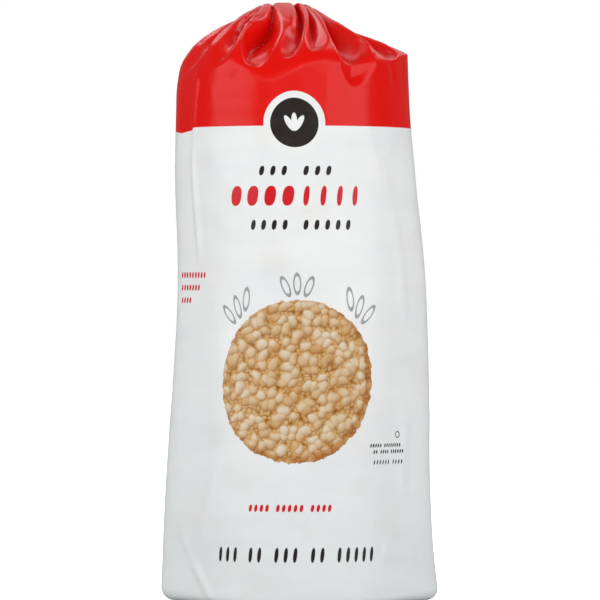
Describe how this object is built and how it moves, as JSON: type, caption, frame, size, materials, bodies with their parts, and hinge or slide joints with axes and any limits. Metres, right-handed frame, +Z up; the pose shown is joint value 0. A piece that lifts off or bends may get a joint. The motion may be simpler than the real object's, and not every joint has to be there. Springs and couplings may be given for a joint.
{
  "type": "bag of puffed rice cakes",
  "caption": "Upright film bag of puffed rice cakes: fins at the sides, flat folded base, and a low hood gathered into a pleated neck that a wire tie holds.",
  "frame": {"origin": "middle of the flat base, on the surface that the bag stands on", "axes": "+Z up, -Y out of the printed front, +X to the right of someone who looks at the front"},
  "size_m": [0.124, 0.11, 0.2675],
  "materials": {
    "printed_film": "satin white film with a red printed band over the top, a dark disc and a printed rice cake on the front",
    "wire_tie": "satin white coated wire tie"
  },
  "bodies": {
    "root": {"film_bag": "printed_film", "neck_tie": "wire_tie"}
  },
  "joints": []
}
